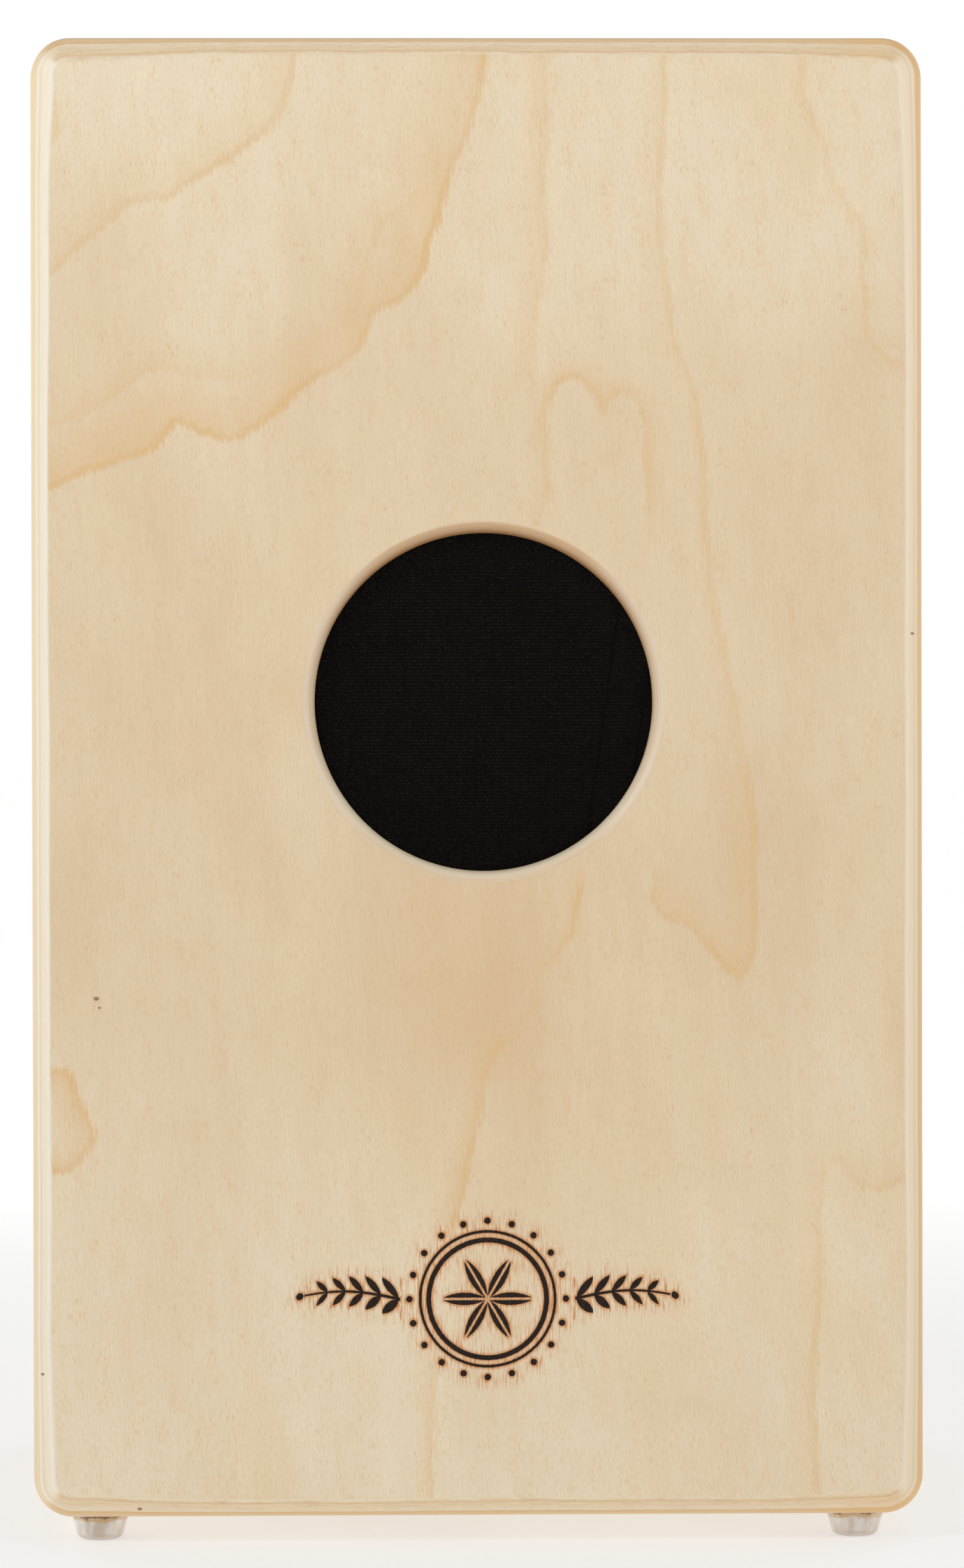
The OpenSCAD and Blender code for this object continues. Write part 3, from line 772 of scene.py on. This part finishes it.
for place in ("back_left", "back_right", "front_left", "front_right"):
    build_foot(f"foot_{place}", finishes["clear"])


# ---- strings -----------------------------------------------------------------------------------

STRING_R = 0.45       # radius of a string
STRING_GAP = 0.5      # gap between the strings and the front plate
BALL_SETBACK = 3.6    # distance of the lower ball's centre from the front plate
BALL_R, WAIST_R = 1.9, 1.25  # radius of a ball end and of its waist
PAIR_LOW, PAIR_HIGH = 5.0, 9.0  # half the spacing of a pair at the nut and at the rail
TUNER_X, ANCHOR_X = 26.0, 90.0  # distance of a pair from the middle at the nut and at the rail
BEND = 1.2            # how far above and below an edge a string bends


def tube(path, radius, sides):
    """Points and faces of a round tube along a path, capped at both ends."""
    ahead = np.gradient(path, axis=0)
    ahead /= np.linalg.norm(ahead, axis=1)[:, None]
    first = np.cross(ahead, (0, 1, 0))
    first /= np.linalg.norm(first, axis=1)[:, None]
    second = np.cross(ahead, first)
    turn = np.arange(sides) / sides * 2 * math.pi
    rings = [p + radius * (np.outer(np.cos(turn), u) + np.outer(np.sin(turn), v))
             for p, u, v in zip(path, first, second)]
    faces = ring_faces(len(rings), sides)
    last = (len(rings) - 1) * sides
    faces += [tuple(range(sides))[::-1], tuple(range(last, last + sides))]
    return np.vstack(rings), faces


def barrel(centre, sides=20):
    """Points and faces of a string's ball end: a brass barrel with a waist, lying along Y."""
    profile = [(0.6, -1.35), (1.5, -1.35), (BALL_R, -1.0), (BALL_R, -0.75), (WAIST_R, -0.3),
               (WAIST_R, 0.3), (BALL_R, 0.75), (BALL_R, 1.0), (1.5, 1.35), (0.6, 1.35)]
    turn = np.arange(sides) / sides * 2 * math.pi
    rings = [np.stack((centre[0] + r * np.cos(turn), np.full(sides, centre[1] + y),
                       centre[2] + r * np.sin(turn)), axis=1) for r, y in profile]
    return np.vstack(rings), ring_faces(len(rings), sides, True)


def build_strings(side, sign, finish):
    nut_low, nut_high = box_mm(f"tension_nut_{side}")
    low_z = (nut_low[2] + nut_high[2]) / 2
    rail_low, rail_high = box_mm("string_rail")
    high_z = (rail_low[2] + rail_high[2]) / 2
    block_top = box_mm("tuner_block")[1][2]
    string_y = shell_front - STRING_GAP - STRING_R
    points, faces = [], []
    for k in (-1, 1):
        def x_at(z):
            share = (z - low_z) / (high_z - low_z)
            low_x, high_x = TUNER_X - k * PAIR_LOW, ANCHOR_X - k * PAIR_HIGH
            return sign * (low_x + (high_x - low_x) * share)

        stations = [(low_z, shell_front - BALL_SETBACK), (block_top - BEND, string_y - 0.2),
                    (block_top, string_y), (block_top + BEND, string_y),
                    (rail_low[2] - BEND, string_y), (rail_low[2], string_y),
                    (rail_low[2] + BEND, string_y - 0.5),
                    (high_z, shell_front - BALL_SETBACK - 1)]
        corners = np.array([(x_at(z), y, z) for z, y in stations])
        path = np.vstack([np.linspace(a, b, max(2, int(np.linalg.norm(b - a) / 6)), endpoint=False)
                          for a, b in zip(corners, corners[1:])] + [corners[-1:]])
        wire = tube(path, STRING_R, 10)
        for more_points, more_faces in (wire, barrel(path[0]), barrel(path[-1])):
            offset = sum(len(p) for p in points)
            points.append(more_points)
            faces += [tuple(i + offset for i in face) for face in more_faces]
    pair = mesh_object(f"strings_{side}_wound", np.vstack(points), faces, finish)
    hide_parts(f"strings_{side}")
    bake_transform(pair)


build_strings("left", -1, finishes["string"])
build_strings("right", 1, finishes["string"])


# ---- studio ------------------------------------------------------------------------------------

def floor_finish():
    f = Finish("studio_floor", Specular_IOR_Level=0.2)
    far = (hypot(f.x, f.y) / 1000).step(0.5, 2.2)
    grain = f.noise(f.x * 0.2, f.y * 0.2, 0.0, 3.0)
    # The floor glows, more further out, so that it stands white and lights the box and its feet from
    # beneath.
    f.shader.inputs["Emission Color"].default_value = (1, 1, 1, 1)
    plug(f.tree, f.shader.inputs["Emission Strength"], far * 0.28 + 0.52)
    return f.finish(f.mix(grain, rgb(190, 190, 189), rgb(186, 186, 186)), 0.7, grain, 0.05)


def build_floor():
    steps, radii = 96, (1, 400, 1200, 3000, 9000, 30000)
    turn = np.arange(steps) / steps * 2 * math.pi
    rings = [np.stack((r * np.cos(turn), r * np.sin(turn), np.zeros(steps)), axis=1) for r in radii]
    faces = ring_faces(len(radii), steps) + [tuple(range(steps))]
    floor = mesh_object("floor", np.vstack(rings), faces, floor_finish())


def area_light(name, place, target, size, power):
    data = bpy.data.lights.new(name, "AREA")
    data.shape, data.size, data.energy = "DISK", size, power
    lamp = bpy.data.objects.new(name, data)
    lamp.location = place
    lamp.rotation_euler = (Vector(target) - Vector(place)).to_track_quat("-Z", "Y").to_euler()
    bpy.context.scene.collection.objects.link(lamp)


def build_world():
    """White at the horizon and softer above, so that the box stands before white but isn't lit flat."""
    world = bpy.data.worlds.new("studio")
    bpy.context.scene.world = world
    world.use_nodes = True
    tree = world.node_tree
    coordinates = tree.nodes.new("ShaderNodeTexCoord")
    split = tree.nodes.new("ShaderNodeSeparateXYZ")
    tree.links.new(coordinates.outputs["Generated"], split.inputs[0])
    strength = Term(tree, split.outputs[2]).step(0.12, 0.36, 1.02, 0.28)
    plug(tree, tree.nodes["Background"].inputs["Strength"], strength)
    tree.nodes["Background"].inputs["Color"].default_value = (1, 1, 1, 1)


def build_camera():
    """Two metres before the sound hole, a little to its left."""
    data = bpy.data.cameras.new("camera")
    data.lens = 141.42
    camera = bpy.data.objects.new("camera", data)
    yaw, pitch, roll = math.radians(1.258), math.radians(0.551), math.radians(-0.123)
    camera.location = (-0.0426, face_y * MM - 2.0, 0.2666)
    ahead = Vector((math.sin(yaw) * math.cos(pitch), math.cos(yaw) * math.cos(pitch),
                    -math.sin(pitch)))
    camera.rotation_mode = "QUATERNION"
    camera.rotation_quaternion = ahead.to_track_quat("-Z", "Y")
    camera.rotation_mode = "XYZ"
    camera.rotation_euler.rotate_axis("Z", roll)
    bpy.context.scene.collection.objects.link(camera)
    bpy.context.scene.camera = camera


build_floor()
build_world()
build_camera()
MIDDLE = (0.0, 0.0, 0.25)
area_light("key", (-1.9, -1.7, 1.5), MIDDLE, 1.2, 19)
area_light("fill", (1.9, -1.5, 1.3), MIDDLE, 1.2, 9)
area_light("top", (0.2, 0.2, 2.4), MIDDLE, 1.6, 8.5)
area_light("rear_left", (-1.6, 1.9, 1.4), MIDDLE, 1.4, 9)
area_light("rear_right", (1.6, 1.8, 1.7), MIDDLE, 1.4, 8)
bpy.context.scene.view_settings.view_transform = "Standard"
